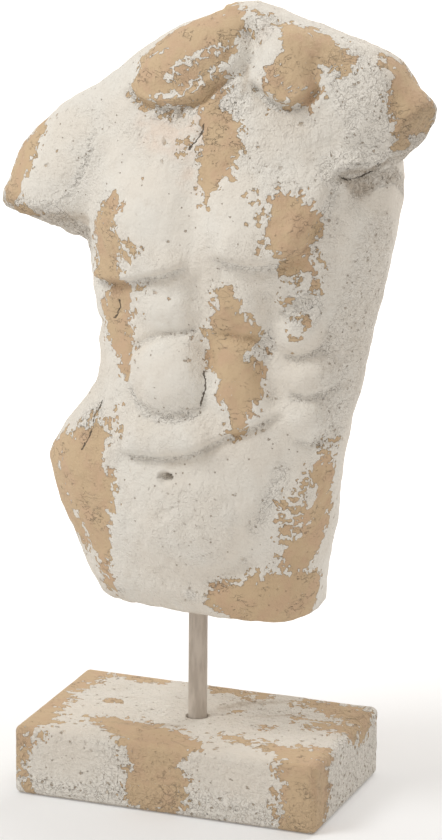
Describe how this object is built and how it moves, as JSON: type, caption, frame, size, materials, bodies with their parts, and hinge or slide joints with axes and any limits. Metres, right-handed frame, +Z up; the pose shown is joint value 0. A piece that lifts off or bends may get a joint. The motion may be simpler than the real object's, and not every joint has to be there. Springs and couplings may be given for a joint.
{
  "type": "male torso sculpture",
  "caption": "Headless, armless male torso in peeling chalky plaster, carried on a short rod above a rectangular block.",
  "frame": {"origin": "middle of the block's underside, on the rod's axis", "axes": "+Z up along the rod, X along the block's long front to the viewer's right, -Y the way the chest faces"},
  "size_m": [0.2765, 0.1369, 0.5],
  "materials": {
    "torso_plaster": "matt white plaster skin, peeled in patches off a sand-coloured body",
    "rod_paint": "matt greige paint over a round bar",
    "plinth_plaster": "matt white plaster skin, worn to the sand-coloured body at the edges"
  },
  "bodies": {
    "root": {"torso": "torso_plaster", "rod": "rod_paint", "plinth": "plinth_plaster"}
  },
  "joints": []
}
